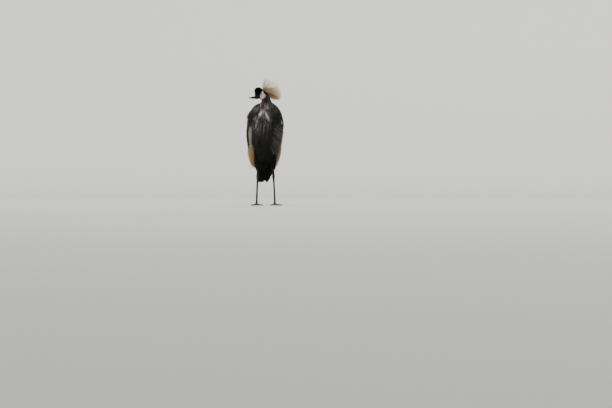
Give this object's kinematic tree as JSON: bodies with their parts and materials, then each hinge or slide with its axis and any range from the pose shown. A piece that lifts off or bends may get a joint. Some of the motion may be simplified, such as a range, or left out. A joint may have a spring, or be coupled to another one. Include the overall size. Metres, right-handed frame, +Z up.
{
  "type": "grey crowned crane",
  "caption": "Life-size still model of a standing grey crowned crane: neck drawn in, head turned aside, gold bristle crest, red wattle, folded wings and long bare legs.",
  "frame": {"origin": "middle of the underside of the bounding box, on the floor under the bird", "axes": "+Z up, the bird faces -Y with its head turned towards -X, its left side is +X"},
  "size_m": [0.2552, 0.3316, 0.8538],
  "materials": {
    "grey_plumage": "loose slate-grey plumes with a soft sheen",
    "pale_plumage": "pearl-grey hackles, white at the throat",
    "black_skin": "velvety black down",
    "crest_gold": "stiff straw-gold bristles",
    "white_skin": "smooth white bare skin",
    "eye": "pale grey-blue iris, wet gloss",
    "bill_horn": "dark horn, slightly polished",
    "red_skin": "soft crimson bare skin",
    "wing_plumage": "white coverts, straw-gold plumes, chestnut and black quills",
    "black_plumage": "black feathers",
    "leg_scales": "black scaled skin",
    "claw_horn": "dark horn"
  },
  "bodies": {
    "root": {"torso": "grey_plumage", "neck": "pale_plumage", "head": "black_skin", "crest": "crest_gold", "cheek_left": "white_skin", "cheek_right": "white_skin", "eye_left": "eye", "eye_right": "eye", "bill_upper": "bill_horn", "bill_lower": "bill_horn", "wattle": "red_skin", "wing_left": "wing_plumage", "wing_right": "wing_plumage", "tail": "black_plumage", "thigh_left": "black_plumage", "thigh_right": "black_plumage", "leg_left": "leg_scales", "leg_right": "leg_scales", "foot_left": "leg_scales", "foot_right": "leg_scales", "claw_left_inner": "claw_horn", "claw_left_middle": "claw_horn", "claw_left_outer": "claw_horn", "claw_left_hind": "claw_horn", "claw_right_inner": "claw_horn", "claw_right_middle": "claw_horn", "claw_right_outer": "claw_horn", "claw_right_hind": "claw_horn"}
  },
  "joints": []
}
